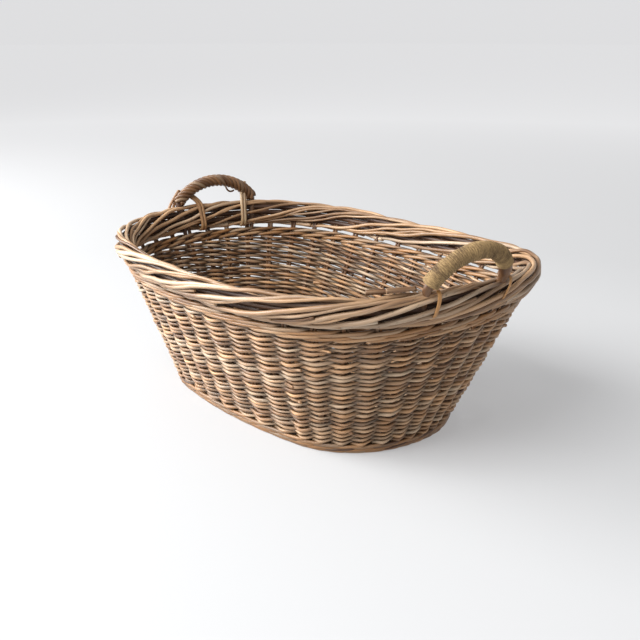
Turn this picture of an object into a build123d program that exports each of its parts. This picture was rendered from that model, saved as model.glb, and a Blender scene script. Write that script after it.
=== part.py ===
from build123d import *
import os
from math import atan2, cos, degrees, hypot, radians, sin

# An oval willow laundry basket, in millimetres, with +Z up. The origin is the centre of the underside
# of the base, +X is the end with the twined handle, and left means +Y, as seen when facing +X.
# Every horizontal section of the wall is an oval of eight tangent arcs: two ends, two long sides and
# four corners. The arcs turn through the same angles at every height, so the wall is straight from
# base to rim along each stake, and growing an oval outward gives one that is parallel to it.

# Driving dimensions of the middle of the wall
BASE_HALF_LENGTH = 250.0
BASE_HALF_WIDTH = 144.0
BASE_CORNER_RADIUS = 118.0
RIM_HALF_LENGTH = 347.0
RIM_HALF_WIDTH = 242.0
RIM_CORNER_RADIUS = 195.0
RIM_HEIGHT = 244.0  # where the rim's oval is measured, the middle of the border
RIM_SHIFT = 24.0  # the rim's centre stands this far toward +X of the base's centre
SIDE_TURN = 10.0  # degrees that a side's arc turns, each way from its middle
END_TURN = 76.0  # degrees from the middle of a side to where the end's arc starts
WALL = 12.0

# Heights where one band of weaving ends and the next starts
UPSETT_TOP = 17.0
LOWER_TOP = 70.0
MIDDLE_TOP = 149.0
UPPER_TOP = 199.0
WALE_TOP = 213.0

# Stakes: how many spaces between them each arc of the oval holds
SIDE_SPACES = 7
CORNER_SPACES = 5
END_SPACES = 4
SPACES = 2 * SIDE_SPACES + 4 * CORNER_SPACES + 2 * END_SPACES
STAKE_DIAMETER = 5.5
STAKE_FOOT = 4.0
STAKE_TIP = 251.0
BYE_DIAMETER = 3.3
BYE_OFFSET = 4.6  # from the stake's axis, along the wall
BYE_PLAY = 0.3

# Base
BASE_THICKNESS = 12.0
BASE_GAP = 0.3  # between the base's edge and the wall
CROSS_DIAMETER = 9.0
CROSS_COUNT = 9
CROSS_SPACING = 50.0
LONG_DIAMETER = 5.5
LONG_COUNT = 5
LONG_SPACING = 35.0
STICK_REACH = 560.0  # longer than the base, before the sticks are trimmed to it

# Border: three rods up each face and one along the top
BORDER_ROD = 8.6
BORDER_LIFT = 9.2
BORDER_OUT = 8.0
BORDER_FOOT = 231.4
BORDER_CREST = 257.6
BORDER_LEVELS = ("low", "mid", "high")

# Handles. A leg's place is counted in spaces round the oval from the middle of the near end.
BOW_DIAMETER = 12.0
PEG_DIAMETER = 4.8
PEG_FOOT = 186.0
PEG_OVERLAP = 4.0
SLEEVE_PLAY = 0.1
SLEEVE_START = 10.0  # degrees round the shoulder, from the foot to where the wrapping starts
FAR_LEGS = (18.36, 21.8)
FAR_FOOT = 264.6
FAR_LEAN = 0.0
FAR_RISE = 38.0
FAR_SHOULDER = 20.0
FAR_SPLAY = 15.0  # degrees that the legs lean towards each other where they leave the border
FAR_ROPE_DIAMETER = 20.0
NEAR_LEGS = (-2.25, 0.75)
NEAR_FOOT = 266.4
NEAR_LEAN = 26.0
NEAR_RISE = 50.0
NEAR_SHOULDER = 44.0
NEAR_SPLAY = 8.0
NEAR_TWINE_DIAMETER = 24.0

# Bindings that hook under the border beside the legs, as (outward, up) points of the section
BINDING_DIAMETER = 4.4
BINDING_BEND = 5.0
BINDING_SECTION = ((-15.8, 262.0), (-15.8, 224.2), (15.8, 224.2), (15.8, 240.0))
FAR_LEFT_BINDINGS = (18.74, 18.87)
FAR_RIGHT_BINDINGS = (20.85, 20.99)
TIE_WIDTH = 5.0
TIE_THICKNESS = 1.6
TIE_BEND = 3.5
TIE_SECTION = ((-3.0, 263.4), (8.0, 262.6), (15.4, 253.0), (15.4, 224.6), (-15.4, 224.6), (-15.4, 239.0))
NEAR_LEFT_TIE = 1.0
NEAR_RIGHT_TIE = -1.97

# Two cut rod ends that lie along the top of the border
TAIL_DIAMETER = 7.0
TAIL_SECTION = ((-9.4, 258.8), (-3.4, 265.6))
TAIL_SPACES = ((-3.95, -2.5), (-3.4, -2.6))

os.makedirs("parts", exist_ok=True)


def save(built, label):
    """Labels a finished piece and writes it."""
    built.part.label = label
    export_step(built.part, f"parts/{label}.step")


def oval_arcs(z, grow=0.0):
    """Centre, radius, first normal angle and turn of the oval's eight arcs, from the near end round."""
    share = z / RIM_HEIGHT
    length = BASE_HALF_LENGTH + share * (RIM_HALF_LENGTH - BASE_HALF_LENGTH) + grow
    width = BASE_HALF_WIDTH + share * (RIM_HALF_WIDTH - BASE_HALF_WIDTH) + grow
    corner = BASE_CORNER_RADIUS + share * (RIM_CORNER_RADIUS - BASE_CORNER_RADIUS) + grow
    middle = share * RIM_SHIFT
    side_sin = sin(radians(SIDE_TURN))
    side_cos = cos(radians(SIDE_TURN))
    end_sin = sin(radians(END_TURN))
    end_cos = cos(radians(END_TURN))
    # The side's and end's radii for which all arcs meet the corner's arc at a tangent
    across = corner * (side_cos - end_cos) - width
    along = corner * (side_sin - end_sin) + length
    scale = end_cos * side_sin - (1 - side_cos) * (1 - end_sin)
    side = ((1 - end_sin) * across + end_cos * along) / scale
    end = -(side_sin * across + (1 - side_cos) * along) / scale
    corner_x = (side - corner) * side_sin
    corner_y = width - side + (side - corner) * side_cos
    end_half = 90 - END_TURN
    corner_turn = END_TURN - SIDE_TURN
    return [
        ((middle + length - end, 0), end, -end_half, 2 * end_half),
        ((middle + corner_x, corner_y), corner, end_half, corner_turn),
        ((middle, width - side), side, 90 - SIDE_TURN, 2 * SIDE_TURN),
        ((middle - corner_x, corner_y), corner, 90 + SIDE_TURN, corner_turn),
        ((middle - length + end, 0), end, 180 - end_half, 2 * end_half),
        ((middle - corner_x, -corner_y), corner, 180 + end_half, corner_turn),
        ((middle, side - width), side, 270 - SIDE_TURN, 2 * SIDE_TURN),
        ((middle + corner_x, -corner_y), corner, 270 + SIDE_TURN, corner_turn),
    ]


ARC_SPACES = (
    END_SPACES,
    CORNER_SPACES,
    SIDE_SPACES,
    CORNER_SPACES,
    END_SPACES,
    CORNER_SPACES,
    SIDE_SPACES,
    CORNER_SPACES,
)


def arc_at(space):
    """The number of the arc that a place round the oval is on, and its normal angle in degrees."""
    left = (space + END_SPACES / 2) % SPACES
    number = 0
    while left > ARC_SPACES[number]:
        left -= ARC_SPACES[number]
        number += 1
    _, _, start, turn = oval_arcs(0)[number]
    return number, start + turn * left / ARC_SPACES[number]


def wall_point(space, z, grow=0.0):
    """A point of the wall, counted in spaces round the oval, at a height and distance outward."""
    number, angle = arc_at(space)
    (x, y), radius, _, _ = oval_arcs(z, grow)[number]
    return Vector(x + radius * cos(radians(angle)), y + radius * sin(radians(angle)), z)


def wall_tangent(space):
    """The direction along the wall, counter-clockwise from above."""
    _, angle = arc_at(space)
    return Vector(-sin(radians(angle)), cos(radians(angle)), 0)


def oval(z, grow=0.0):
    """The oval at a height as a flat face."""
    with BuildSketch(Plane.XY.offset(z)) as outline:
        with BuildLine():
            for centre, radius, start, turn in oval_arcs(z, grow):
                CenterArc(centre, radius, start, turn)
        make_face()
    return outline.sketch


def straight_rod(foot, tip, diameter, mode=Mode.ADD):
    """A round rod from foot to tip in the part that is open."""
    with Locations(Plane(origin=foot, z_dir=tip - foot)):
        Cylinder(
            diameter / 2,
            (tip - foot).length,
            align=(Align.CENTER, Align.CENTER, Align.MIN),
            mode=mode,
        )


def stake_ends(number):
    """The foot and tip of a stake's axis."""
    space = number + 0.5
    return wall_point(space, STAKE_FOOT), wall_point(space, STAKE_TIP)


def bye_ends(number):
    """The foot and tip of a bye-stake's axis, beside its stake along the wall."""
    foot, tip = stake_ends(number)
    aside = wall_tangent(number + 0.5) * BYE_OFFSET
    return foot + aside, tip + aside


def rod_planes(ends):
    """The planes at the feet of some rods, and their common height."""
    planes = [Plane(origin=foot, z_dir=tip - foot) for foot, tip in ends]
    height = max((tip - foot).length for foot, tip in ends)
    return planes, height


def leg_ends(space, foot_height):
    """The lower end of a handle's peg, and the point where it enters the bow."""
    return wall_point(space, PEG_FOOT), wall_point(space, foot_height)


def wall_band(label, bottom, top, pegged=False):
    """One band of weaving: the wall between two heights, with the stakes' channels through it."""
    stakes, stake_length = rod_planes([stake_ends(number) for number in range(SPACES)])
    byes, bye_length = rod_planes([bye_ends(number) for number in range(SPACES)])
    standing = (Align.CENTER, Align.CENTER, Align.MIN)
    with BuildPart() as band:
        loft(sections=[oval(bottom, WALL / 2), oval(top, WALL / 2)], ruled=True)
        loft(sections=[oval(bottom, -WALL / 2), oval(top, -WALL / 2)], ruled=True, mode=Mode.SUBTRACT)
        with Locations(*stakes):
            Cylinder(STAKE_DIAMETER / 2, stake_length, align=standing, mode=Mode.SUBTRACT)
        with Locations(*byes):
            Cylinder(BYE_DIAMETER / 2 + BYE_PLAY, bye_length, align=standing, mode=Mode.SUBTRACT)
        if pegged:
            for legs, foot_height in ((FAR_LEGS, FAR_FOOT), (NEAR_LEGS, NEAR_FOOT)):
                for leg in legs:
                    straight_rod(*leg_ends(leg, foot_height), PEG_DIAMETER, Mode.SUBTRACT)
    save(band, label)


def rods(label, ends, diameter):
    """A group of straight rods that belong together."""
    with BuildPart() as group:
        for foot, tip in ends:
            straight_rod(foot, tip, diameter)
    save(group, label)


def border_rod(label, z, grow, pierced=False):
    """One rod of the border, a closed oval ring."""
    with BuildPart() as rod:
        with BuildLine(Plane.XY.offset(z)) as path:
            for centre, radius, start, turn in oval_arcs(z, grow):
                CenterArc(centre, radius, start, turn)
        with BuildSketch(path.line ^ 0):
            Circle(BORDER_ROD / 2)
        sweep()
        if pierced:
            for legs, foot_height in ((FAR_LEGS, FAR_FOOT), (NEAR_LEGS, NEAR_FOOT)):
                for leg in legs:
                    straight_rod(*leg_ends(leg, foot_height), PEG_DIAMETER, Mode.SUBTRACT)
    save(rod, label)


def handle_plane(legs, foot_height, lean):
    """The plane of a handle's arch, x from leg to leg and y up the arch, and half the legs' spacing."""
    first, second = (wall_point(leg, foot_height) for leg in legs)
    along = (second - first).normalized()
    outward = along.cross(Vector(0, 0, 1))
    up = Vector(0, 0, 1) * cos(radians(lean)) + outward * sin(radians(lean))
    plane = Plane(origin=(first + second) / 2, x_dir=along, z_dir=along.cross(up))
    return plane, (second - first).length / 2


def arch_arcs(half_width, rise, shoulder, splay, skipped=0.0):
    """Centre, radius, first angle and turn of an arch's two shoulders and its top, all tangent."""
    inset = half_width - shoulder * cos(radians(splay))
    drop = shoulder * sin(radians(splay))
    full_rise = rise + drop
    top = (inset**2 + full_rise**2 - shoulder**2) / (2 * (full_rise - shoulder))
    top_half = degrees(atan2(inset, top - full_rise))
    start = splay + skipped
    return [
        ((-inset, -drop), shoulder, 180 - start, top_half - 90 + start),
        ((0, rise - top), top, 90 + top_half, -2 * top_half),
        ((inset, -drop), shoulder, 90 - top_half, top_half - 90 + start),
    ]


def handle_bow(label, legs, foot_height, lean, rise, shoulder, splay):
    """A handle's bow rod, with its thinned ends pushed down into the wall."""
    plane, half_width = handle_plane(legs, foot_height, lean)
    with BuildPart() as bow:
        with BuildLine(plane) as path:
            for centre, radius, start, turn in arch_arcs(half_width, rise, shoulder, splay):
                CenterArc(centre, radius, start, turn)
        with BuildSketch(path.line ^ 0):
            Circle(BOW_DIAMETER / 2)
        sweep()
        for leg in legs:
            foot, tip = leg_ends(leg, foot_height)
            reach = (tip - foot).normalized() * PEG_OVERLAP
            straight_rod(foot, tip + reach, PEG_DIAMETER)
    save(bow, label)


def handle_sleeve(label, legs, foot_height, lean, rise, shoulder, splay, diameter):
    """The wrapping round a bow, between the two legs' feet."""
    plane, half_width = handle_plane(legs, foot_height, lean)
    with BuildPart() as sleeve:
        with BuildLine(plane) as path:
            for centre, radius, start, turn in arch_arcs(half_width, rise, shoulder, splay, SLEEVE_START):
                CenterArc(centre, radius, start, turn)
        with BuildSketch(path.line ^ 0):
            Circle(diameter / 2)
            Circle(BOW_DIAMETER / 2 + SLEEVE_PLAY, mode=Mode.SUBTRACT)
        sweep()
    save(sleeve, label)


def bindings(label, spaces):
    """Rods that come down inside the border, pass under it and end against its outer face."""
    with BuildPart() as hooks:
        for space in spaces:
            with BuildLine() as path:
                points = [wall_point(space, z, grow) for grow, z in BINDING_SECTION]
                FilletPolyline(*points, radius=BINDING_BEND)
            with BuildSketch(path.line ^ 0):
                Circle(BINDING_DIAMETER / 2)
            sweep()
    save(hooks, label)


def cane_tie(label, space):
    """A flat strip of cane over the border, down its outer face and under it."""
    with BuildPart() as tie:
        with BuildLine() as path:
            points = [wall_point(space, z, grow) for grow, z in TIE_SECTION]
            FilletPolyline(*points, radius=TIE_BEND)
        with BuildSketch(Plane(origin=path.line @ 0, x_dir=wall_tangent(space), z_dir=path.line % 0)):
            Rectangle(TIE_WIDTH, TIE_THICKNESS)
        sweep()
    save(tie, label)


# Base
cross_places = [CROSS_SPACING * (i - (CROSS_COUNT - 1) / 2) for i in range(CROSS_COUNT)]
long_places = [LONG_SPACING * (i - (LONG_COUNT - 1) / 2) for i in range(LONG_COUNT)]
across_planes = [
    Plane(origin=(x, 0, BASE_THICKNESS / 2), x_dir=(1, 0, 0), z_dir=(0, 1, 0)) for x in cross_places
]
along_planes = [
    Plane(origin=(0, y, BASE_THICKNESS / 2), x_dir=(0, 1, 0), z_dir=(1, 0, 0)) for y in long_places
]
base_grow = -WALL / 2 - BASE_GAP
base_faces = [oval(0, base_grow), oval(BASE_THICKNESS, base_grow)]

with BuildPart() as base_cross_sticks:
    with Locations(*across_planes):
        Cylinder(CROSS_DIAMETER / 2, STICK_REACH)
    loft(sections=base_faces, ruled=True, mode=Mode.INTERSECT)
    with Locations(*along_planes):
        Cylinder(LONG_DIAMETER / 2, STICK_REACH, mode=Mode.SUBTRACT)
save(base_cross_sticks, "base_cross_sticks")

with BuildPart() as base_long_sticks:
    with Locations(*along_planes):
        Cylinder(LONG_DIAMETER / 2, STICK_REACH)
    loft(sections=base_faces, ruled=True, mode=Mode.INTERSECT)
save(base_long_sticks, "base_long_sticks")

with BuildPart() as base_weave:
    loft(sections=base_faces, ruled=True)
    with Locations(*across_planes):
        Cylinder(CROSS_DIAMETER / 2, STICK_REACH, mode=Mode.SUBTRACT)
    with Locations(*along_planes):
        Cylinder(LONG_DIAMETER / 2, STICK_REACH, mode=Mode.SUBTRACT)
save(base_weave, "base_weave")

# Wall
wall_band("upsett_wale", 0, UPSETT_TOP)
wall_band("siding_lower", UPSETT_TOP, LOWER_TOP)
wall_band("siding_middle", LOWER_TOP, MIDDLE_TOP)
wall_band("siding_upper", MIDDLE_TOP, UPPER_TOP, pegged=True)
wall_band("top_wale", UPPER_TOP, WALE_TOP, pegged=True)

# Stakes and bye-stakes, one group for each wall
end_half_count = END_SPACES // 2 + 3
STAKE_GROUPS = {
    "near_end": range(-end_half_count, end_half_count),
    "left_side": range(end_half_count, SPACES // 2 - end_half_count),
    "far_end": range(SPACES // 2 - end_half_count, SPACES // 2 + end_half_count),
    "right_side": range(SPACES // 2 + end_half_count, SPACES - end_half_count),
}
for side, numbers in STAKE_GROUPS.items():
    rods(f"stakes_{side}", [stake_ends(number) for number in numbers], STAKE_DIAMETER)
    rods(f"bye_stakes_{side}", [bye_ends(number) for number in numbers], BYE_DIAMETER)

# Border
for step, level in enumerate(BORDER_LEVELS):
    border_rod(f"border_outer_{level}", BORDER_FOOT + step * BORDER_LIFT, BORDER_OUT)
    border_rod(f"border_inner_{level}", BORDER_FOOT + step * BORDER_LIFT, -BORDER_OUT)
border_rod("border_top", BORDER_CREST, 0, pierced=True)

# Far handle, roped
far_shape = (FAR_LEGS, FAR_FOOT, FAR_LEAN, FAR_RISE, FAR_SHOULDER, FAR_SPLAY)
handle_bow("far_handle_bow", *far_shape)
handle_sleeve("far_handle_roping", *far_shape, FAR_ROPE_DIAMETER)
bindings("far_binding_left", FAR_LEFT_BINDINGS)
bindings("far_binding_right", FAR_RIGHT_BINDINGS)

# Near handle, wrapped in twine
near_shape = (NEAR_LEGS, NEAR_FOOT, NEAR_LEAN, NEAR_RISE, NEAR_SHOULDER, NEAR_SPLAY)
handle_bow("near_handle_bow", *near_shape)
handle_sleeve("near_handle_twine", *near_shape, NEAR_TWINE_DIAMETER)
cane_tie("near_tie_left", NEAR_LEFT_TIE)
cane_tie("near_tie_right", NEAR_RIGHT_TIE)

with BuildPart() as near_handle_tail_rods:
    for (grow, z), (first, last) in zip(TAIL_SECTION, TAIL_SPACES):
        corner, first_angle = arc_at(first)
        _, last_angle = arc_at(last)
        centre, radius, _, _ = oval_arcs(z, grow)[corner]
        with BuildLine(Plane.XY.offset(z)) as tail_path:
            CenterArc(centre, radius, first_angle, last_angle - first_angle)
        with BuildSketch(tail_path.line ^ 0):
            Circle(TAIL_DIAMETER / 2)
        sweep()
save(near_handle_tail_rods, "near_handle_tail_rods")
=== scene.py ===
"""A laundry basket of peeled and buff willow: French-randed walls, waled foot and top, rolled border,
a roped handle at the far end and a twine-wrapped one at the near end. Metres, +Z up."""

import bpy
from math import atan2, cos, degrees, pi, radians, sin

import numpy as np
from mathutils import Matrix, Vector


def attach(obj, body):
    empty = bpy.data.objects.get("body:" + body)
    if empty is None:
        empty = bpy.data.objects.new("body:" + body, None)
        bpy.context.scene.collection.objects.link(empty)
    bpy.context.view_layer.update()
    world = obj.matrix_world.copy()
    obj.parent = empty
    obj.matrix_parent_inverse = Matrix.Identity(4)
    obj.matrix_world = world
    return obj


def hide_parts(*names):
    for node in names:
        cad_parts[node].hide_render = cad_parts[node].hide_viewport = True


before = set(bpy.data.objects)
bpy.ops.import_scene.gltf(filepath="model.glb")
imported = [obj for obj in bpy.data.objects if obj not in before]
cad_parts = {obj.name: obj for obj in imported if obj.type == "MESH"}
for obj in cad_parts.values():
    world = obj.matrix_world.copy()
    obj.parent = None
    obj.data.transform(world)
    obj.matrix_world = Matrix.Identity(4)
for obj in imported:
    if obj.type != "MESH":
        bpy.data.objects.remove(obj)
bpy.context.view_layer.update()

MM = 0.001
RANDOM = np.random.default_rng(17)

# The oval, as in the CAD model
BASE_HALF_LENGTH, BASE_HALF_WIDTH, BASE_CORNER_RADIUS = 250.0, 144.0, 118.0
RIM_HALF_LENGTH, RIM_HALF_WIDTH, RIM_CORNER_RADIUS = 347.0, 242.0, 195.0
RIM_HEIGHT, RIM_SHIFT = 244.0, 24.0
SIDE_TURN, END_TURN = 10.0, 76.0
SIDE_SPACES, CORNER_SPACES, END_SPACES = 7, 5, 4
SPACES = 2 * SIDE_SPACES + 4 * CORNER_SPACES + 2 * END_SPACES
ARC_SPACES = np.array([END_SPACES, CORNER_SPACES, SIDE_SPACES, CORNER_SPACES] * 2, float)
ARC_STARTS = np.array([-14.0, 14.0, 80.0, 100.0, 166.0, 194.0, 260.0, 280.0])
ARC_TURNS = np.array([28.0, 66.0, 20.0, 66.0] * 2)
ARC_KINDS = np.array([0, 1, 2, 1] * 2)
ARC_X = np.array([1, 1, 0, -1, -1, -1, 0, 1])
ARC_Y = np.array([0, 1, 1, 1, 0, -1, -1, -1])
SADDLE = 14.0  # how far the rim's ends ride above its sides

# Levels of the wall's bands
UPSETT_TOP, LOWER_TOP, MIDDLE_TOP, UPPER_TOP = 17.0, 70.0, 149.0, 199.0

# Weaving: a weaver's swing from the wall's middle, how sharply it bends, and its steps to a space
SWING, BEND, STEPS = 5.3, 0.93, 8
SHADE_DEPTH = 7.2  # this far from the wall's middle, a rod's skin gets no painted shade from the weave's hollows
STICK_FOOT, STICK_TURN, STICK_TOP = 4, 226, 242

# Base: half the core line that its weave starts round, the weave's level and swing, and the sticks' gaps
CORE_HALF, BASE_LEVEL, BASE_SWING, CROSS_GAP, LONG_GAP = 100, 6.2, 3.3, 50, 35

# Rolled border: its middle line, half width and half height, and a rod's run and turn in spaces
BORDER_MIDDLE, BORDER_OUT, BORDER_UP = 240.2, 11.6, 18.3
BORDER_RUN, BORDER_TURN = 15.0, 12.5

# Handles
FAR = dict(legs=(18.36, 21.8), foot=264.6, lean=0.0, rise=38.0, shoulder=20.0, splay=15.0)
NEAR = dict(legs=(-2.25, 0.75), foot=266.4, lean=26.0, rise=50.0, shoulder=44.0, splay=8.0)
TWINE_RADIUS, TWINE_RIDGE, TWINE_PITCH = 10.8, 0.8, 2.8
ARCH_STEPS, WOUND_STEPS = 620, 560  # the twine covers this many of the near arch's steps


# ---------------------------------------------------------------- shapes

def wall(space, z, out=0.0):
    """Points of the wall and its true outward normal, in mm.

    The oval at height z is eight tangent arcs; a place is centre + (radius + out)(cos a, sin a), where the
    angle a grows evenly with the spaces of each arc. The saddle of lift() comes last."""
    space, z, out = np.broadcast_arrays(np.asarray(space, float), z, out)

    def plain(z):
        """The oval at height z, in plan: each measure goes evenly from the base's to the rim's."""
        share = z / RIM_HEIGHT
        length = BASE_HALF_LENGTH + share * (RIM_HALF_LENGTH - BASE_HALF_LENGTH)
        width = BASE_HALF_WIDTH + share * (RIM_HALF_WIDTH - BASE_HALF_WIDTH)
        corner = BASE_CORNER_RADIUS + share * (RIM_CORNER_RADIUS - BASE_CORNER_RADIUS)
        side_sin, side_cos = sin(radians(SIDE_TURN)), cos(radians(SIDE_TURN))
        end_sin, end_cos = sin(radians(END_TURN)), cos(radians(END_TURN))
        across = corner * (side_cos - end_cos) - width
        along = corner * (side_sin - end_sin) + length
        scale = end_cos * side_sin - (1 - side_cos) * (1 - end_sin)
        side = ((1 - end_sin) * across + end_cos * along) / scale
        end = -(side_sin * across + (1 - side_cos) * along) / scale
        corner_x = (side - corner) * side_sin
        corner_y = width - side + (side - corner) * side_cos
        radius = np.choose(kind, [end, corner, side])
        x = share * RIM_SHIFT + ARC_X[number] * np.where(kind == 0, length - end, corner_x)
        y = ARC_Y[number] * np.where(kind == 1, corner_y, width - side)
        return x + radius * level[..., 0], y + radius * level[..., 1]

    left = (space + END_SPACES / 2) % SPACES
    ends = np.cumsum(ARC_SPACES)
    number = np.clip(np.searchsorted(ends, left, side="right"), 0, 7)
    kind = ARC_KINDS[number]
    angle = np.radians(
        ARC_STARTS[number] + ARC_TURNS[number] * (left - (ends - ARC_SPACES)[number]) / ARC_SPACES[number]
    )
    level = np.stack([np.cos(angle), np.sin(angle)], -1)
    x, y = plain(z)
    x_up, y_up = plain(z + 1.0)
    slope = (x_up - x) * level[..., 0] + (y_up - y) * level[..., 1]
    tilt = np.sqrt(1 + slope**2)
    normal = np.stack([level[..., 0] / tilt, level[..., 1] / tilt, -slope / tilt], -1)
    points = np.stack([x, y, z], -1) + normal * out[..., None]
    return lift(points), normal


def lift(points):
    """Adds the rim's saddle: z + 14 (((x - 24) / 350)^2 - 1/2) (z / 255)^2, in mm."""
    lifted = points.copy()
    share = np.clip(points[..., 2], 0, None) / 255
    lifted[..., 2] += SADDLE * (((points[..., 0] - 24) / 350) ** 2 - 0.5) * share**2
    return lifted


def wander(count, steps, size, waves=2.0):
    """Slow sideways drift of each rod: the sum of two sines of random phase and about `waves` waves."""
    along = np.linspace(0, 2 * pi, steps)
    phase = RANDOM.uniform(0, 2 * pi, (2, count, 1))
    pace = RANDOM.uniform(0.7, 1.4, (2, count, 1)) * waves
    return size * 0.6 * (np.sin(pace[0] * along + phase[0]) + np.sin(1.9 * pace[1] * along + phase[1]))


def rods(name, points, normals, radii, sides=8, closed=False, grey=0.2, tone=0.5, flat=1.0, depth=None):
    """Round rods in one mesh: rod, step and side arrays give p + r (cos t n + flat sin t b), with n the
    given normal made square to the rod's run and b their cross product; open rods get flat cut ends.
    With depth, each point keeps min(|depth + r cos t| / the shade depth, 1), which is 0 in the wall's
    hollows; it sets a painted shade there."""
    points = np.asarray(points, float)
    count, steps, _ = points.shape
    if closed:
        run = np.roll(points, -1, 1) - np.roll(points, 1, 1)
    else:
        run = np.gradient(points, axis=1)
    run /= np.linalg.norm(run, axis=2, keepdims=True) + 1e-9
    normals = np.broadcast_to(normals, points.shape)
    normals = normals - run * np.sum(normals * run, 2, keepdims=True)
    normals /= np.linalg.norm(normals, axis=2, keepdims=True) + 1e-9
    binormals = np.cross(run, normals)
    turn = np.arange(sides) * 2 * pi / sides
    wide = radii if np.ndim(radii) == 3 else np.broadcast_to(radii, (count, steps))[..., None]
    ring = (
        points[:, :, None]
        + (wide * np.cos(turn))[..., None] * normals[:, :, None]
        + (wide * flat * np.sin(turn))[..., None] * binormals[:, :, None]
    )
    gaps = np.linalg.norm(np.diff(points, axis=1), axis=2)
    length = np.concatenate([np.zeros((count, 1)), np.cumsum(gaps, 1)], 1)
    shift = RANDOM.uniform(0, 900, (count, 1, 1, 3))
    grain = np.stack(
        [
            np.broadcast_to(length[:, :, None], ring.shape[:3]),
            np.broadcast_to(3 * np.cos(turn), ring.shape[:3]),
            np.broadcast_to(3 * np.sin(turn), ring.shape[:3]),
        ],
        -1,
    ) + shift
    tones = np.clip(RANDOM.normal(tone, 0.13, (count, 1, 1)), 0, 1)
    greys = np.clip(RANDOM.normal(grey, 0.22, (count, 1, 1)), 0, 1)
    # Painted shade: 1 on skin that stands clear of the weave, falling to 0 in the weave's hollows
    painted_exposure = 1.0
    if depth is not None:
        painted_exposure = np.clip(np.abs(depth[..., None] + wide * np.cos(turn)) / SHADE_DEPTH, 0, 1)
    looks = np.stack([np.broadcast_to(v, ring.shape[:3]) for v in (tones, greys, painted_exposure)], -1)

    index = np.arange(count * steps * sides).reshape(count, steps, sides)
    ahead = np.roll(index, -1, 1) if closed else index[:, 1:]
    here = index if closed else index[:, :-1]
    quads = np.stack([here, np.roll(here, -1, 2), np.roll(ahead, -1, 2), ahead], -1).reshape(-1, 4)
    corners = [quads.ravel()]
    totals = [np.full(len(quads), 4)]
    if not closed:
        corners += [index[:, 0, ::-1].ravel(), index[:, -1].ravel()]
        totals += [np.full(2 * count, sides)]
    corners, totals = np.concatenate(corners), np.concatenate(totals)
    mesh = bpy.data.meshes.new(name)
    mesh.vertices.add(index.size)
    mesh.vertices.foreach_set("co", (ring * MM).ravel())
    mesh.loops.add(len(corners))
    mesh.loops.foreach_set("vertex_index", corners.astype(np.int32))
    mesh.polygons.add(len(totals))
    starts = np.concatenate([[0], np.cumsum(totals)[:-1]])
    mesh.polygons.foreach_set("loop_start", starts.astype(np.int32))
    mesh.polygons.foreach_set("loop_total", totals.astype(np.int32))
    mesh.update(calc_edges=True)
    mesh.polygons.foreach_set("use_smooth", totals == 4)
    for label, values in (("grain", grain), ("looks", looks)):
        mesh.attributes.new(label, "FLOAT_VECTOR", "POINT").data.foreach_set("vector", values.ravel())
    mesh.validate()
    piece = bpy.data.objects.new(name, mesh)
    bpy.context.scene.collection.objects.link(piece)
    return piece


def place(piece, finish, slot, *nodes):
    """Gives a finished piece its material and its tie to the CAD model."""
    piece.data.materials.append(finish)
    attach(piece, "root")
    if nodes:
        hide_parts(*nodes)
    return piece


# ---------------------------------------------------------------- materials

def colour(code):
    """An sRGB hex colour as linear RGBA."""
    parts = [int(code[i : i + 2], 16) / 255 for i in (1, 3, 5)]
    return tuple(c / 12.92 if c <= 0.04045 else ((c + 0.055) / 1.055) ** 2.4 for c in parts) + (1.0,)


def node(tree, kind, inputs=(), **settings):
    """Adds a node, sets its properties, and links or sets its inputs by name or number."""
    new = tree.nodes.new(kind)
    for key, value in settings.items():
        setattr(new, key, value)
    for key, value in dict(inputs).items():
        if isinstance(value, bpy.types.NodeSocket):
            tree.links.new(value, new.inputs[key])
        else:
            new.inputs[key].default_value = value
    return new


def blank(name):
    """A material with only its output and shader."""
    material = bpy.data.materials.new(name)
    material.use_nodes = True
    tree = material.node_tree
    tree.nodes.clear()
    shader = node(tree, "ShaderNodeBsdfPrincipled")
    node(tree, "ShaderNodeOutputMaterial", {"Surface": shader.outputs[0]})
    return material, tree, shader


def spread(tree, value, *ends):
    """A value taken evenly from the first two ends to the last two, or to 0 and 1."""
    return node(tree, "ShaderNodeMapRange", dict(enumerate((value, *ends)))).outputs[0]


def blend(tree, share, first, second):
    """The first colour going into the second by share."""
    return node(tree, "ShaderNodeMix", {0: share, 6: first, 7: second}, data_type="RGBA").outputs[2]


def scaled(tree, vector, by):
    """A vector times another, part by part, or times a single value."""
    if isinstance(by, tuple):
        return node(tree, "ShaderNodeVectorMath", {0: vector, 1: by}, operation="MULTIPLY").outputs[0]
    return node(tree, "ShaderNodeVectorMath", {0: vector, "Scale": by}, operation="SCALE").outputs[0]


def noise(tree, where, detail, scale=1.0):
    """Noise from 0 to 1 at a place."""
    put = {"Vector": where, "Scale": scale, "Detail": detail}
    return node(tree, "ShaderNodeTexNoise", put).outputs["Fac"]


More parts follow.
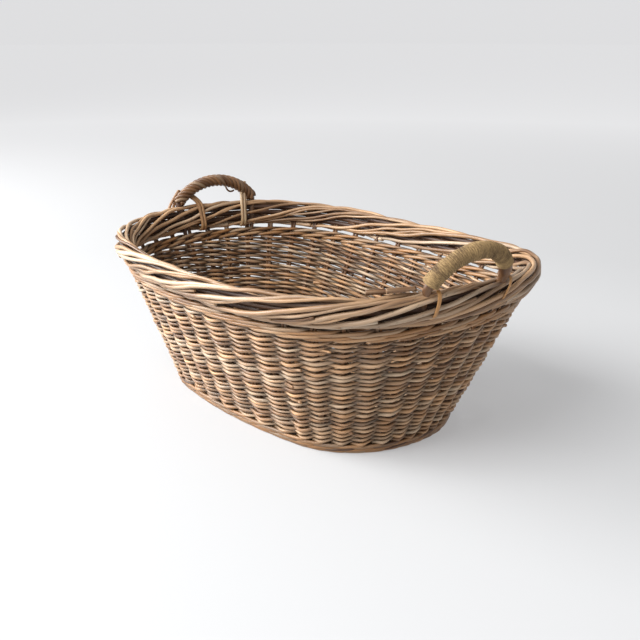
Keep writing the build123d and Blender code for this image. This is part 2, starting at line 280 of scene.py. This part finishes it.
def willow(name, dark, pale, grey, coat, rough=0.55, from_object=False):
    """Willow rods, boiled and stripped: a satin skin with fine lengthwise fibres, darker leaf scars every
    few centimetres, silvery weathering in streaks, and a painted shade in the weave's hollows. Gives the eye
    streaked tan under a low sheen, with dark lines between the rows."""
    material, tree, shader = blank(name)
    if from_object:
        where = scaled(tree, node(tree, "ShaderNodeTexCoord").outputs["Object"], (1000, 1000, 1000))
        tone, grey_share, painted_exposure = 0.5, 0.2, None
    else:
        where = node(tree, "ShaderNodeAttribute", attribute_name="grain").outputs["Vector"]
        looks = node(tree, "ShaderNodeAttribute", attribute_name="looks")
        parts = node(tree, "ShaderNodeSeparateXYZ", {0: looks.outputs["Vector"]})
        tone, grey_share, painted_exposure = parts.outputs

    # Noise in mm, stretched along the rod
    fibres = noise(tree, scaled(tree, where, (0.035, 1.1, 1.1)), 4.0)
    patches = noise(tree, scaled(tree, where, (0.012, 0.12, 0.12)), 3.0)
    scars = noise(tree, scaled(tree, where, (0.16, 0.35, 0.35)), 2.0)
    mottle = node(tree, "ShaderNodeMath", {0: patches, 1: tone}, operation="ADD").outputs[0]
    body = blend(tree, spread(tree, mottle, 0.55, 1.45), colour(dark), colour(pale))
    shaded = scaled(tree, body, spread(tree, fibres, 0.35, 0.7, 0.78, 1.12))
    worn = node(tree, "ShaderNodeMath", {0: patches, 1: grey_share}, operation="ADD").outputs[0]
    weathered = blend(tree, spread(tree, worn, 0.72, 1.25, 0.0, 0.75), shaded, colour(grey))
    marked = blend(tree, spread(tree, scars, 0.66, 0.76, 0.0, 0.55), weathered, colour(coat))
    # Painted shade: darker where the skin lies near the wall's middle, in the weave's hollows, a little
    # lighter on the outermost skin
    if painted_exposure:
        marked = scaled(tree, marked, spread(tree, painted_exposure, 0.15, 0.95, 0.3, 1.1))
    tree.links.new(marked, shader.inputs["Base Color"])
    sheen = spread(tree, fibres, 0.0, 1.0, rough - 0.1, rough + 0.12)
    tree.links.new(sheen, shader.inputs["Roughness"])
    shader.inputs["Specular IOR Level"].default_value = 0.5
    bump = node(tree, "ShaderNodeBump", {"Height": fibres, "Strength": 0.5, "Distance": 0.0004})
    tree.links.new(bump.outputs[0], shader.inputs["Normal"])
    return material


def twine():
    """Jute twine, three plies laid up and wound tight: dull khaki with hairy, uneven plies across each
    turn. Gives the eye fine matt ribs."""
    material, tree, shader = blank("twine")
    where = node(tree, "ShaderNodeAttribute", attribute_name="grain").outputs["Vector"]
    fuzz = noise(tree, scaled(tree, where, (1.4, 0.9, 0.9)), 6.0)
    wide = noise(tree, where, 2.0, 0.06)
    mixed = node(tree, "ShaderNodeMath", {0: fuzz, 1: wide}, operation="ADD").outputs[0]
    body = blend(tree, spread(tree, mixed, 0.75, 1.25), colour("#47331D"), colour("#A08459"))
    tree.links.new(body, shader.inputs["Base Color"])
    shader.inputs["Roughness"].default_value = 0.85
    bump = node(tree, "ShaderNodeBump", {"Height": fuzz, "Strength": 0.8, "Distance": 0.0006})
    tree.links.new(bump.outputs[0], shader.inputs["Normal"])
    return material


weaver_willow = willow("weaver_willow", "#4A260F", "#D3A577", "#BCA88F", "#1E0C04", 0.42)
wale_willow = willow("wale_willow", "#43240D", "#B38455", "#A3917A", "#200F06", 0.42)
stick_willow = willow("stick_willow", "#3A2110", "#7C5533", "#7A6A58", "#1A0E07")
border_willow = willow("border_willow", "#4A2B14", "#CDA67E", "#C3B5A0", "#1E0D05", 0.42)
handle_willow = willow("handle_willow", "#472B17", "#A57C55", "#95856F", "#20120A", 0.42)
binding_willow = willow("binding_willow", "#664527", "#B38A60", "#9C8B6E", "#301B0C", 0.42)
cane_finish = willow("cane_tie", "#85592F", "#BC8A52", "#A68B64", "#4A2D16", 0.42)
base_willow = willow("base_willow", "#482B15", "#98693F", "#84725E", "#22130A", from_object=True)
twine_finish = twine()


# ---------------------------------------------------------------- weaving

def randing(name, bottom, top, rounds):
    """French randing: rod k starts at space k and covers s = k + t; it swings out and in of the wall as
    SWING asin(BEND sin(pi t)) / asin(BEND), straight between stakes and bent over each, before one and
    behind the next, and climbs as 1.12 q - 0.12 q^2 of the band's height, q = t / length."""
    length = 2 * rounds
    steps = length * STEPS + 1
    along = np.linspace(0, length, steps)[None]
    start = np.arange(SPACES)[:, None] + RANDOM.normal(0, 0.04, (SPACES, 1))
    share = along / length
    swing = np.arcsin(BEND * np.sin(pi * along)) / np.arcsin(BEND)
    depth = RANDOM.normal(SWING, 0.5, (SPACES, 1)) * swing + wander(SPACES, steps, 0.4, 5)
    ends = np.minimum(along, length - along)
    depth *= np.clip(0.45 + ends * 1.6, 0, 1)
    rows = top - bottom
    height = bottom + 0.8 + (rows - 1.4) * (1.12 * share - 0.12 * share**2)
    height = height + wander(SPACES, steps, 0.7, 5)
    radius = (2.6 - 0.4 * share) * RANDOM.normal(1, 0.11, (SPACES, 1))
    points, normals = wall(start + along, height, depth)
    return rods(name, points, normals, radius, grey=0.25, depth=depth)


def cut_ends(name, count):
    """Butts and tips where one rod ends and the next is laid in: short rods that run with the weave and
    leave it, out = side (3.5 + c t^2) with c from 2 to 5, on the outer or inner face."""
    along = np.linspace(0, 1, 8)[None]
    first = RANDOM.uniform(0, SPACES, (count, 1))
    low = RANDOM.uniform(24, 196, (count, 1))
    face = np.where(RANDOM.uniform(0, 1, (count, 1)) < 0.45, 1.0, -1.0)
    reach = RANDOM.uniform(0.25, 0.6, (count, 1))
    depth = face * (3.5 + RANDOM.uniform(2, 5, (count, 1)) * along**2)
    points, normals = wall(first + reach * along, low + RANDOM.uniform(-2, 5, (count, 1)) * along, depth)
    thickness = RANDOM.uniform(1.5, 2.6, (count, 1)) + 0 * along
    return rods(name, points, normals, thickness, grey=0.25, depth=depth)


def waling(name, heights, radius, size):
    """Three-rod wale: rod k of a round runs before two stakes and behind one, at
    5.2 tanh(2.2 (cos(2 pi (t - k - 1) / 3) + 0.35)) out, and swings by size sin(2 pi (t - k - 1) / 3) up and
    down, so that the strokes slant. Nothing goes below the floor."""
    phase = np.concatenate([np.arange(3.0) + 0.4 * i for i in range(len(heights))])
    level = np.repeat(np.asarray(heights, float), 3)
    along = np.arange(SPACES * STEPS) / STEPS
    beat = along[None] - phase[:, None]
    depth = 5.2 * np.tanh(2.2 * (np.cos(2 * pi * (beat - 1) / 3) + 0.35))
    height = level[:, None] + size * np.sin(2 * pi * (beat - 1) / 3) + wander(len(level), along.size, 0.3, 20)
    points, normals = wall(np.broadcast_to(along, beat.shape), height, depth)
    points[..., 2] = np.maximum(points[..., 2], radius + 0.2)
    return rods(name, points, normals, radius, closed=True, grey=0.25, depth=depth)


def wall_sticks(name, numbers, aside, radius):
    """Stakes or bye-stakes: up the wall along its straight lines, then over along the border, as
    place = i + 1/2 + aside + 0.75 u^2, with u from 0 at STICK_TURN to 1 at STICK_TOP."""
    numbers = np.array(list(numbers), float)[:, None]
    up = np.linspace(0, 1, 40)[None]
    height = STICK_FOOT + (STICK_TOP - STICK_FOOT) * up
    bend = np.clip((height - STICK_TURN) / (STICK_TOP - STICK_TURN), 0, 1) ** 2
    places = numbers + 0.5 + aside + 0.75 * bend + RANDOM.normal(0, 0.012, numbers.shape)
    depth = RANDOM.normal(0, 0.5, numbers.shape) + 0 * up
    points, normals = wall(places, np.broadcast_to(height, places.shape), depth)
    thickness = radius * (1.04 - 0.22 * up) * RANDOM.normal(1, 0.06, numbers.shape)
    return rods(name, points, normals, thickness, grey=0.15, tone=0.45)


def border_path(places, angle, wide, high):
    """A strand of the border: it circles the border's middle line as (wide cos a, high sin a)."""
    return wall(places, BORDER_MIDDLE + high * np.sin(angle), wide * np.cos(angle))


def rolled_border():
    """Rolled border: rod k leaves its stake at the bottom and winds round the border's ellipse, with
    a = -90 + 360 t / BORDER_TURN degrees, for BORDER_RUN spaces, tapering from 3.25 to 2.15 mm."""
    steps = 130
    along = np.linspace(0, BORDER_RUN, steps)[None]
    count = SPACES
    start = np.arange(count)[:, None] + 0.5 + RANDOM.normal(0, 0.16, (count, 1))
    pace = RANDOM.normal(BORDER_TURN, 0.8, (count, 1))
    angle = -pi / 2 + 2 * pi * along / pace + RANDOM.normal(0, 0.15, (count, 1))
    angle = angle + wander(count, steps, 0.13, 3)
    size = RANDOM.normal(0, 0.8, (count, 1)) + wander(count, steps, 1.0, 5)
    points, normals = border_path(start + along, angle, BORDER_OUT + size, BORDER_UP + size)
    run = np.cos(angle)[..., None] * normals + np.sin(angle)[..., None] * np.array([0, 0, 1.0])
    taper = (3.25 - 1.1 * along / BORDER_RUN) * RANDOM.normal(1, 0.14, (count, 1))
    return rods("border_strands", points, run, taper, sides=10, grey=0.2, tone=0.5)


def border_heart():
    """The border's inner rods: three plain loops inside the strands, so that no light shows through."""
    along = np.arange(SPACES * 6) / 6.0
    level = np.array([-9.0, 0.0, 9.0])[:, None]
    points, normals = wall(along[None] + 0 * level, BORDER_MIDDLE + level, 0.0)
    return rods("border_heart", points, normals, 4.6, closed=True, grey=0.0, tone=0.1)


# ---------------------------------------------------------------- handles

def handle_frame(legs, foot, lean, **_):
    """The middle, long direction and upward direction of an arch that stands on two places of the rim."""
    first, second = (wall(leg, foot)[0] for leg in legs)
    along = (second - first) / np.linalg.norm(second - first)
    outward = np.cross(along, [0, 0, 1.0])
    outward /= np.linalg.norm(outward)
    up = np.array([0, 0, 1.0]) * cos(radians(lean)) + outward * sin(radians(lean))
    return (first + second) / 2, along, up, np.linalg.norm(second - first) / 2


def arch(shape, steps, skipped=0.0):
    """Points of a bow: two shoulder arcs and a top arc, all tangent, evenly spaced along their length."""
    middle, along, up, half = handle_frame(**shape)
    shoulder, splay = shape["shoulder"], shape["splay"]
    inset = half - shoulder * cos(radians(splay))
    drop = shoulder * sin(radians(splay))
    full = shape["rise"] + drop
    top = (inset**2 + full**2 - shoulder**2) / (2 * (full - shoulder))
    top_half = degrees(atan2(inset, top - full))
    start = splay + skipped
    pieces = []
    for (x, y), radius, first, turn in (
        ((-inset, -drop), shoulder, 180 - start, top_half - 90 + start),
        ((0, shape["rise"] - top), top, 90 + top_half, -2 * top_half),
        ((inset, -drop), shoulder, 90 - top_half, top_half - 90 + start),
    ):
        angle = np.radians(np.linspace(first, first + turn, 200))
        pieces.append(np.stack([x + radius * np.cos(angle), y + radius * np.sin(angle)], 1))
    line = np.concatenate(pieces)
    gaps = np.linalg.norm(np.diff(line, axis=0), axis=1)
    run = np.concatenate([[0], np.cumsum(gaps)])
    even = np.linspace(0, run[-1], steps)
    x, y = np.interp(even, run, line[:, 0]), np.interp(even, run, line[:, 1])
    return middle + x[:, None] * along + y[:, None] * up, np.cross(along, up), run[-1]


def twisted(name, path, side, strands, turns, out, radius, grey=0.2, tone=0.5):
    """Strands laid round a path: each point is p + out (cos a n + sin a b), with
    a = 2 pi (turns q + k / strands)."""
    run = np.gradient(path, axis=0)
    run /= np.linalg.norm(run, axis=1, keepdims=True)
    across = np.cross(run, side)
    share = np.linspace(0, 1, len(path))[None]
    angle = 2 * pi * (turns * share + np.arange(strands)[:, None] / strands)
    away = np.cos(angle)[..., None] * side + np.sin(angle)[..., None] * across
    return rods(name, path + out * away, away, radius * (1 + 0 * share), sides=10, grey=grey, tone=tone)


def bow(name, shape, radius=5.8, bulge=0.0):
    """A handle's bow with its two legs, which run down into the wall under the border; the second leg swells
    by bulge exp(-((i - knuckle) / 5)^2)."""
    path, side, _ = arch(shape, 60)
    legs = []
    for leg, tip in zip(shape["legs"], (path[0], path[-1])):
        foot = wall(leg, 190.0)[0]
        share = np.linspace(0, 1, 12)[:, None]
        legs.append(foot + (tip - foot) * share)
    whole = np.concatenate([legs[0][:-1], path, legs[1][::-1][1:]])
    thickness = np.full(len(whole), radius)
    thickness[:11] = np.linspace(2.6, radius, 11)
    thickness[-11:] = thickness[:11][::-1]
    knuckle = len(whole) - 17
    thickness += bulge * np.exp(-(((np.arange(len(whole)) - knuckle) / 5.0) ** 2))
    return rods(name, whole[None], side, thickness[None], sides=14, grey=0.0, tone=0.2)


def wrapped_handle(shape):
    """Twine wound on the near bow: a tube of radius TWINE_RADIUS + TWINE_RIDGE |sin| of the turns, with each
    turn climbing by its own width on its way round; it stops short of the second leg."""
    sides = 24
    path, side, length = arch(shape, ARCH_STEPS, 10.0)
    path, length = path[:WOUND_STEPS], length * WOUND_STEPS / ARCH_STEPS
    turn = np.arange(sides) * 2 * pi / sides
    run = np.linspace(0, length, WOUND_STEPS)[:, None]
    ridge = np.abs(np.sin(pi * run / TWINE_PITCH - turn[None] / 2))
    uneven = 0.35 * np.sin(run / 9.0) + 0.25 * np.sin(run / 3.7 + 1.0)
    radius = TWINE_RADIUS + TWINE_RIDGE * ridge + uneven
    return rods("near_handle_wrapping", path[None], side, radius[None], sides=sides)


def smooth_path(corners, steps, rounds=3):
    """A polyline with its corners cut in turn, then spaced evenly."""
    line = np.asarray(corners, float)
    for _ in range(rounds):
        inner = np.stack([line[:-1] * 0.75 + line[1:] * 0.25, line[:-1] * 0.25 + line[1:] * 0.75], 1)
        line = np.concatenate([line[:1], inner.reshape(-1, 3), line[-1:]])
    run = np.concatenate([[0], np.cumsum(np.linalg.norm(np.diff(line, axis=0), axis=1))])
    even = np.linspace(0, run[-1], steps)
    return np.stack([np.interp(even, run, line[:, axis]) for axis in range(3)], 1)


def hooks(name, sections, radius, flat=1.0, tone=0.5, sides=8):
    """Rods or strips that hook round the border: each is a list of (place, out, up) corners, smoothed."""
    paths = []
    for corners in sections:
        places, out, up = np.asarray(corners, float).T
        points, normals = wall(places, up, 0.0)
        level = normals.copy()
        level[:, 2] = 0
        points = points + level / np.linalg.norm(level, axis=1, keepdims=True) * out[:, None]
        paths.append(smooth_path(points, 44))
    paths = np.array(paths)
    run = np.gradient(paths, axis=1)
    tangent = wall(np.array([s[0][0] for s in sections]), 240.0)[1]
    tangent = np.cross([0, 0, 1.0], tangent)[:, None] + 0 * run
    return rods(name, paths, np.cross(run, tangent), radius, flat=flat, tone=tone, grey=0.1, sides=sides)


# ---------------------------------------------------------------- the basket

GROUPS = {
    "near_end": range(-5, 5),
    "left_side": range(5, SPACES // 2 - 5),
    "far_end": range(SPACES // 2 - 5, SPACES // 2 + 5),
    "right_side": range(SPACES // 2 + 5, SPACES - 5),
}

BANDS = (
    ("lower", UPSETT_TOP, LOWER_TOP, 7),
    ("middle", LOWER_TOP, MIDDLE_TOP, 10),
    ("upper", MIDDLE_TOP, UPPER_TOP, 6),
)
for band, *sizes in BANDS:
    place(randing(f"randing_{band}", *sizes), weaver_willow, "weaver_willow", f"siding_{band}")
place(cut_ends("weave_cut_ends", 90), weaver_willow, "weaver_willow")
place(waling("wale_foot", (3.6, 8.8, 14.0), 2.7, 1.6), wale_willow, "wale_willow", "upsett_wale")
place(waling("wale_top", (203.8, 211.0), 2.8, 2.4), wale_willow, "wale_willow", "top_wale")
for side, numbers in GROUPS.items():
    piece = wall_sticks(f"standing_{side}", numbers, 0.0, 3.2)
    place(piece, stick_willow, "stick_willow", f"stakes_{side}")
    piece = wall_sticks(f"byes_{side}", numbers, 0.115, 2.4)
    place(piece, stick_willow, "stick_willow", f"bye_stakes_{side}")
levels = [f"border_{side}_{level}" for side in ("outer", "inner") for level in ("low", "mid", "high")]
place(rolled_border(), border_willow, "border_willow", *levels)
place(border_heart(), stick_willow, "border_willow", "border_top")


def base_rings():
    """The base's weavers: rings q from the core line to the oval, (1 - q) core + q oval, each going
    over and under the sticks as BASE_SWING (ny^2 cos(pi x / CROSS_GAP) + nx^2 cos(pi y / LONG_GAP)), turned
    over ring by ring."""
    rings, steps = 25, 360
    share = np.linspace(0.02, 0.975, rings)[:, None]
    places = np.linspace(0, SPACES, steps, endpoint=False)[None]
    edge, normals = wall(places, 6.0, -8.6)
    edge = np.broadcast_to(edge, (rings, steps, 3))
    normals = np.broadcast_to(normals, (rings, steps, 3))
    core = np.clip(edge[..., 0], -CORE_HALF, CORE_HALF)
    x = core * (1 - share) + edge[..., 0] * share
    y = edge[..., 1] * share
    sign = np.where(np.arange(rings) % 2, 1.0, -1.0)[:, None]
    crossing = normals[..., 1] ** 2 * np.cos(pi * x / CROSS_GAP)
    wave = crossing + normals[..., 0] ** 2 * np.cos(pi * y / LONG_GAP)
    points = np.stack([x, y, BASE_LEVEL + BASE_SWING * sign * wave], -1)
    level = normals.copy()
    level[..., 2] = 0
    return rods("base_rings", points, level, 2.8, closed=True, grey=0.1, tone=0.4)


place(base_rings(), weaver_willow, "weaver_willow", "base_weave")
for name in ("base_cross_sticks", "base_long_sticks"):
    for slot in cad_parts[name].material_slots:
        slot.material = base_willow

# Far handle: a bow, roped with five strands, and its bindings
place(bow("far_bow", FAR), handle_willow, "handle_willow", "far_handle_bow")
far_path, far_side, _ = arch(FAR, 120, 8.0)
place(
    twisted("far_rope", far_path, far_side, 5, 3.9, 7.3, 3.5, grey=0.1, tone=0.4),
    handle_willow, "handle_willow", "far_handle_roping",
)


def binding(space, head):
    """Corners of one binding: out of the roping at head (place, out, up), then inside, under and outside."""
    section = ((-14.6, 266.0), (-15.8, 250.0), (-16.0, 220.0), (15.8, 220.0), (15.8, 240.0))
    return [head] + [(space, out, up) for out, up in section]


left = [binding(18.74, (18.66, -5.0, 292.0)), binding(18.87, (18.82, -5.0, 293.0))]
right = [binding(20.85, (21.3, -3.0, 283.0)), binding(20.99, (21.42, -3.0, 281.0))]
place(hooks("far_bindings_left", left, 2.9), binding_willow, "binding_willow", "far_binding_left")
place(hooks("far_bindings_right", right, 2.9), binding_willow, "binding_willow", "far_binding_right")

# The roping's rods spread out where they leave the handle's foot and go down over the border
FAN_PLACE = 21.62
FAN = ((0, 1, 286), (1, 7, 270), (1.6, 13, 256), (2, 13.5, 236))
fan = [
    [(FAN_PLACE + part * apart, out, up) for part, out, up in FAN] for apart in (-0.1, 0.05, 0.2, 0.35)
]
place(hooks("far_rope_fan", fan, 2.7), handle_willow, "handle_willow")
curl = [[(19.35, 0, 296), (19.5, -4, 288), (19.46, -8, 280), (19.3, -8, 277), (19.15, -7, 279)]]
place(hooks("far_rope_curl", curl, 1.7, tone=0.2), handle_willow, "handle_willow")

# Near handle: a bow wrapped in twine, and its cane ties
place(bow("near_bow", NEAR, 5.8, 3.6), handle_willow, "handle_willow", "near_handle_bow")
place(wrapped_handle(NEAR), twine_finish, "twine", "near_handle_twine")
TIE = ((-3.0, 264.4), (8.0, 264.2), (16.6, 254.0), (16.6, 223.6), (-15.6, 223.6), (-15.8, 239.0))


def tie(space, slant):
    """Corners of one cane tie, over the border, down and under it, slanting along the wall."""
    return [(space + slant * i / 5, out, up) for i, (out, up) in enumerate(TIE)]


for side, space, slant in (("left", 1.0, -0.5), ("right", -1.97, -0.04)):
    strip = hooks(f"near_tie_{side}_strip", [tie(space, slant)], 0.9, flat=3.2)
    place(strip, cane_finish, "cane_tie", f"near_tie_{side}")


def tails():
    """Two cut rod ends that lie along the border, rod q at (out, up) from the first place to the last."""
    share = np.linspace(0, 1, 40)[None]
    first = np.array([-3.95, -3.4])[:, None]
    last = np.array([-2.5, -2.6])[:, None]
    out = np.array([-9.4, -3.4])[:, None]
    up = np.array([262.4, 267.0])[:, None]
    points, normals = wall(first + (last - first) * share, up + 0 * share, out + 0 * share)
    return rods("tail_rods", points, normals, 3.5 - 0.6 * share, sides=14, grey=0.1, tone=0.3)


place(tails(), border_willow, "border_willow", "near_handle_tail_rods")

# ---------------------------------------------------------------- stage, light and camera

# A flat floor that curves up far away, as a paper sweep does: rings at r, at
# z = RISE (max(r - FLAT, 0) / (REACH - FLAT))^2, in metres
FLAT, REACH, RISE = 20, 80, 20
floor_turn = np.arange(64) * 2 * pi / 64
floor_radii = np.array([3.0, 10.0, 20.0, 35.0, 50.0, 65.0, 80.0])
floor_rise = (np.clip(floor_radii - FLAT, 0, None) / (REACH - FLAT)) ** 2 * RISE
floor_points = np.stack(
    [
        floor_radii[:, None] * np.cos(floor_turn),
        floor_radii[:, None] * np.sin(floor_turn),
        floor_rise[:, None] + 0 * floor_turn,
    ],
    -1,
)
floor_index = np.arange(floor_points.size // 3).reshape(len(floor_radii), 64)
floor_quads = np.stack(
    [floor_index[:-1], floor_index[1:], np.roll(floor_index[1:], -1, 1), np.roll(floor_index[:-1], -1, 1)], -1
)
floor_mesh = bpy.data.meshes.new("floor")
floor_faces = [floor_index[0].tolist()] + floor_quads.reshape(-1, 4).tolist()
floor_mesh.from_pydata(floor_points.reshape(-1, 3).tolist(), [], floor_faces)
floor = bpy.data.objects.new("floor", floor_mesh)
bpy.context.scene.collection.objects.link(floor)
floor_material, floor_tree, floor_shader = blank("paper_floor")
floor_shader.inputs["Base Color"].default_value = colour("#9C9D9E")
floor_shader.inputs["Roughness"].default_value = 0.9
floor_shader.inputs["Emission Color"].default_value = colour("#F4F4F6")
# Painted light: the paper glows, and more with distance, standing in for the lamp light on it that falls off
# there
floor_place = node(floor_tree, "ShaderNodeTexCoord").outputs["Object"]
floor_reach = node(floor_tree, "ShaderNodeVectorMath", {0: floor_place}, operation="LENGTH").outputs["Value"]
floor_glow = spread(floor_tree, floor_reach, 1.2, 4.5, 0.35, 0.66)
floor_tree.links.new(floor_glow, floor_shader.inputs["Emission Strength"])
floor_mesh.materials.append(floor_material)

world = bpy.data.worlds.new("studio")
bpy.context.scene.world = world
world.use_nodes = True
world.node_tree.nodes["Background"].inputs[0].default_value = colour("#F5F4F2")
world.node_tree.nodes["Background"].inputs[1].default_value = 0.36


def softbox(name, position, target, size, power):
    """A square area light that faces a target."""
    light = bpy.data.lights.new(name, "AREA")
    light.size = size
    light.energy = power
    lamp = bpy.data.objects.new(name, light)
    lamp.location = position
    lamp.rotation_euler = (Vector(target) - Vector(position)).to_track_quat("-Z", "Y").to_euler()
    bpy.context.scene.collection.objects.link(lamp)


softbox("key", (-2.5, -1.95, 1.5), (0, 0, 0.15), 2.2, 205)
softbox("high", (0.2, -2.2, 2.4), (0, 0.1, 0.15), 2.0, 125)

bpy.context.scene.view_settings.view_transform = "Standard"
CAMERA_PLACE, CAMERA_TARGET = (1.2186, -0.9506, 0.6011), (-0.1300, 0.1333, 0.0700)
camera = bpy.data.cameras.new("camera")
camera.sensor_width = 36
camera.lens = 56.23
view = bpy.data.objects.new("camera", camera)
view.location = CAMERA_PLACE
direction = Vector(CAMERA_TARGET) - view.location
view.rotation_euler = direction.to_track_quat("-Z", "Y").to_euler()
bpy.context.scene.collection.objects.link(view)
bpy.context.scene.camera = view
